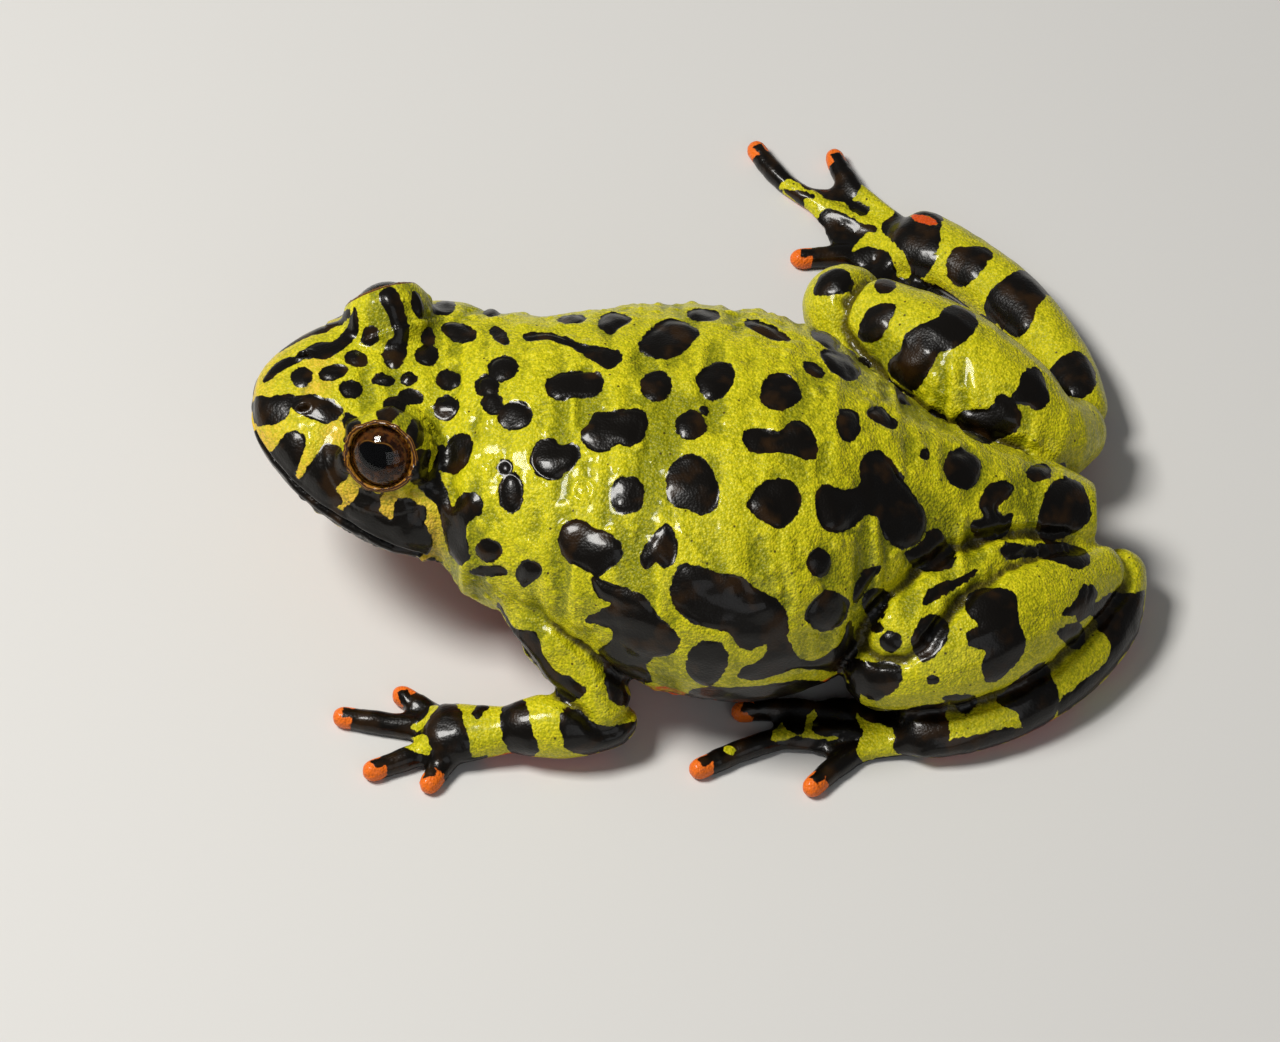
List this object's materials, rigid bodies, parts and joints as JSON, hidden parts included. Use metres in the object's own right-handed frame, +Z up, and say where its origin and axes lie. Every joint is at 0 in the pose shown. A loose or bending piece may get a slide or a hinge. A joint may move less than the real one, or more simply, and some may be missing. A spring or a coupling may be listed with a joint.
{
  "type": "fire-bellied toad",
  "caption": "Life-size still model of a fire-bellied toad sitting flat with folded hind legs, bright green with black spots and orange toe tips.",
  "frame": {"origin": "on the ground under the middle of the trunk, at the flat on which the belly rests", "axes": "+Z up, -Y towards the snout, +X towards the toad's left side"},
  "size_m": [0.0463, 0.0484, 0.0153],
  "materials": {
    "toad_skin": "moist lime-green skin with black spots, low warts and an orange belly",
    "limb_skin": "moist lime-green skin with black bars and orange tips",
    "eye": "wet copper-brown iris with a black pupil"
  },
  "bodies": {
    "root": {"head": "toad_skin", "torso": "toad_skin", "eye_left": "eye", "eye_right": "eye", "upper_arm_left": "limb_skin", "forearm_left": "limb_skin", "hand_left": "limb_skin", "upper_arm_right": "limb_skin", "forearm_right": "limb_skin", "hand_right": "limb_skin", "thigh_left": "limb_skin", "shank_left": "limb_skin", "foot_left": "limb_skin", "thigh_right": "limb_skin", "shank_right": "limb_skin", "foot_right": "limb_skin"}
  },
  "joints": []
}
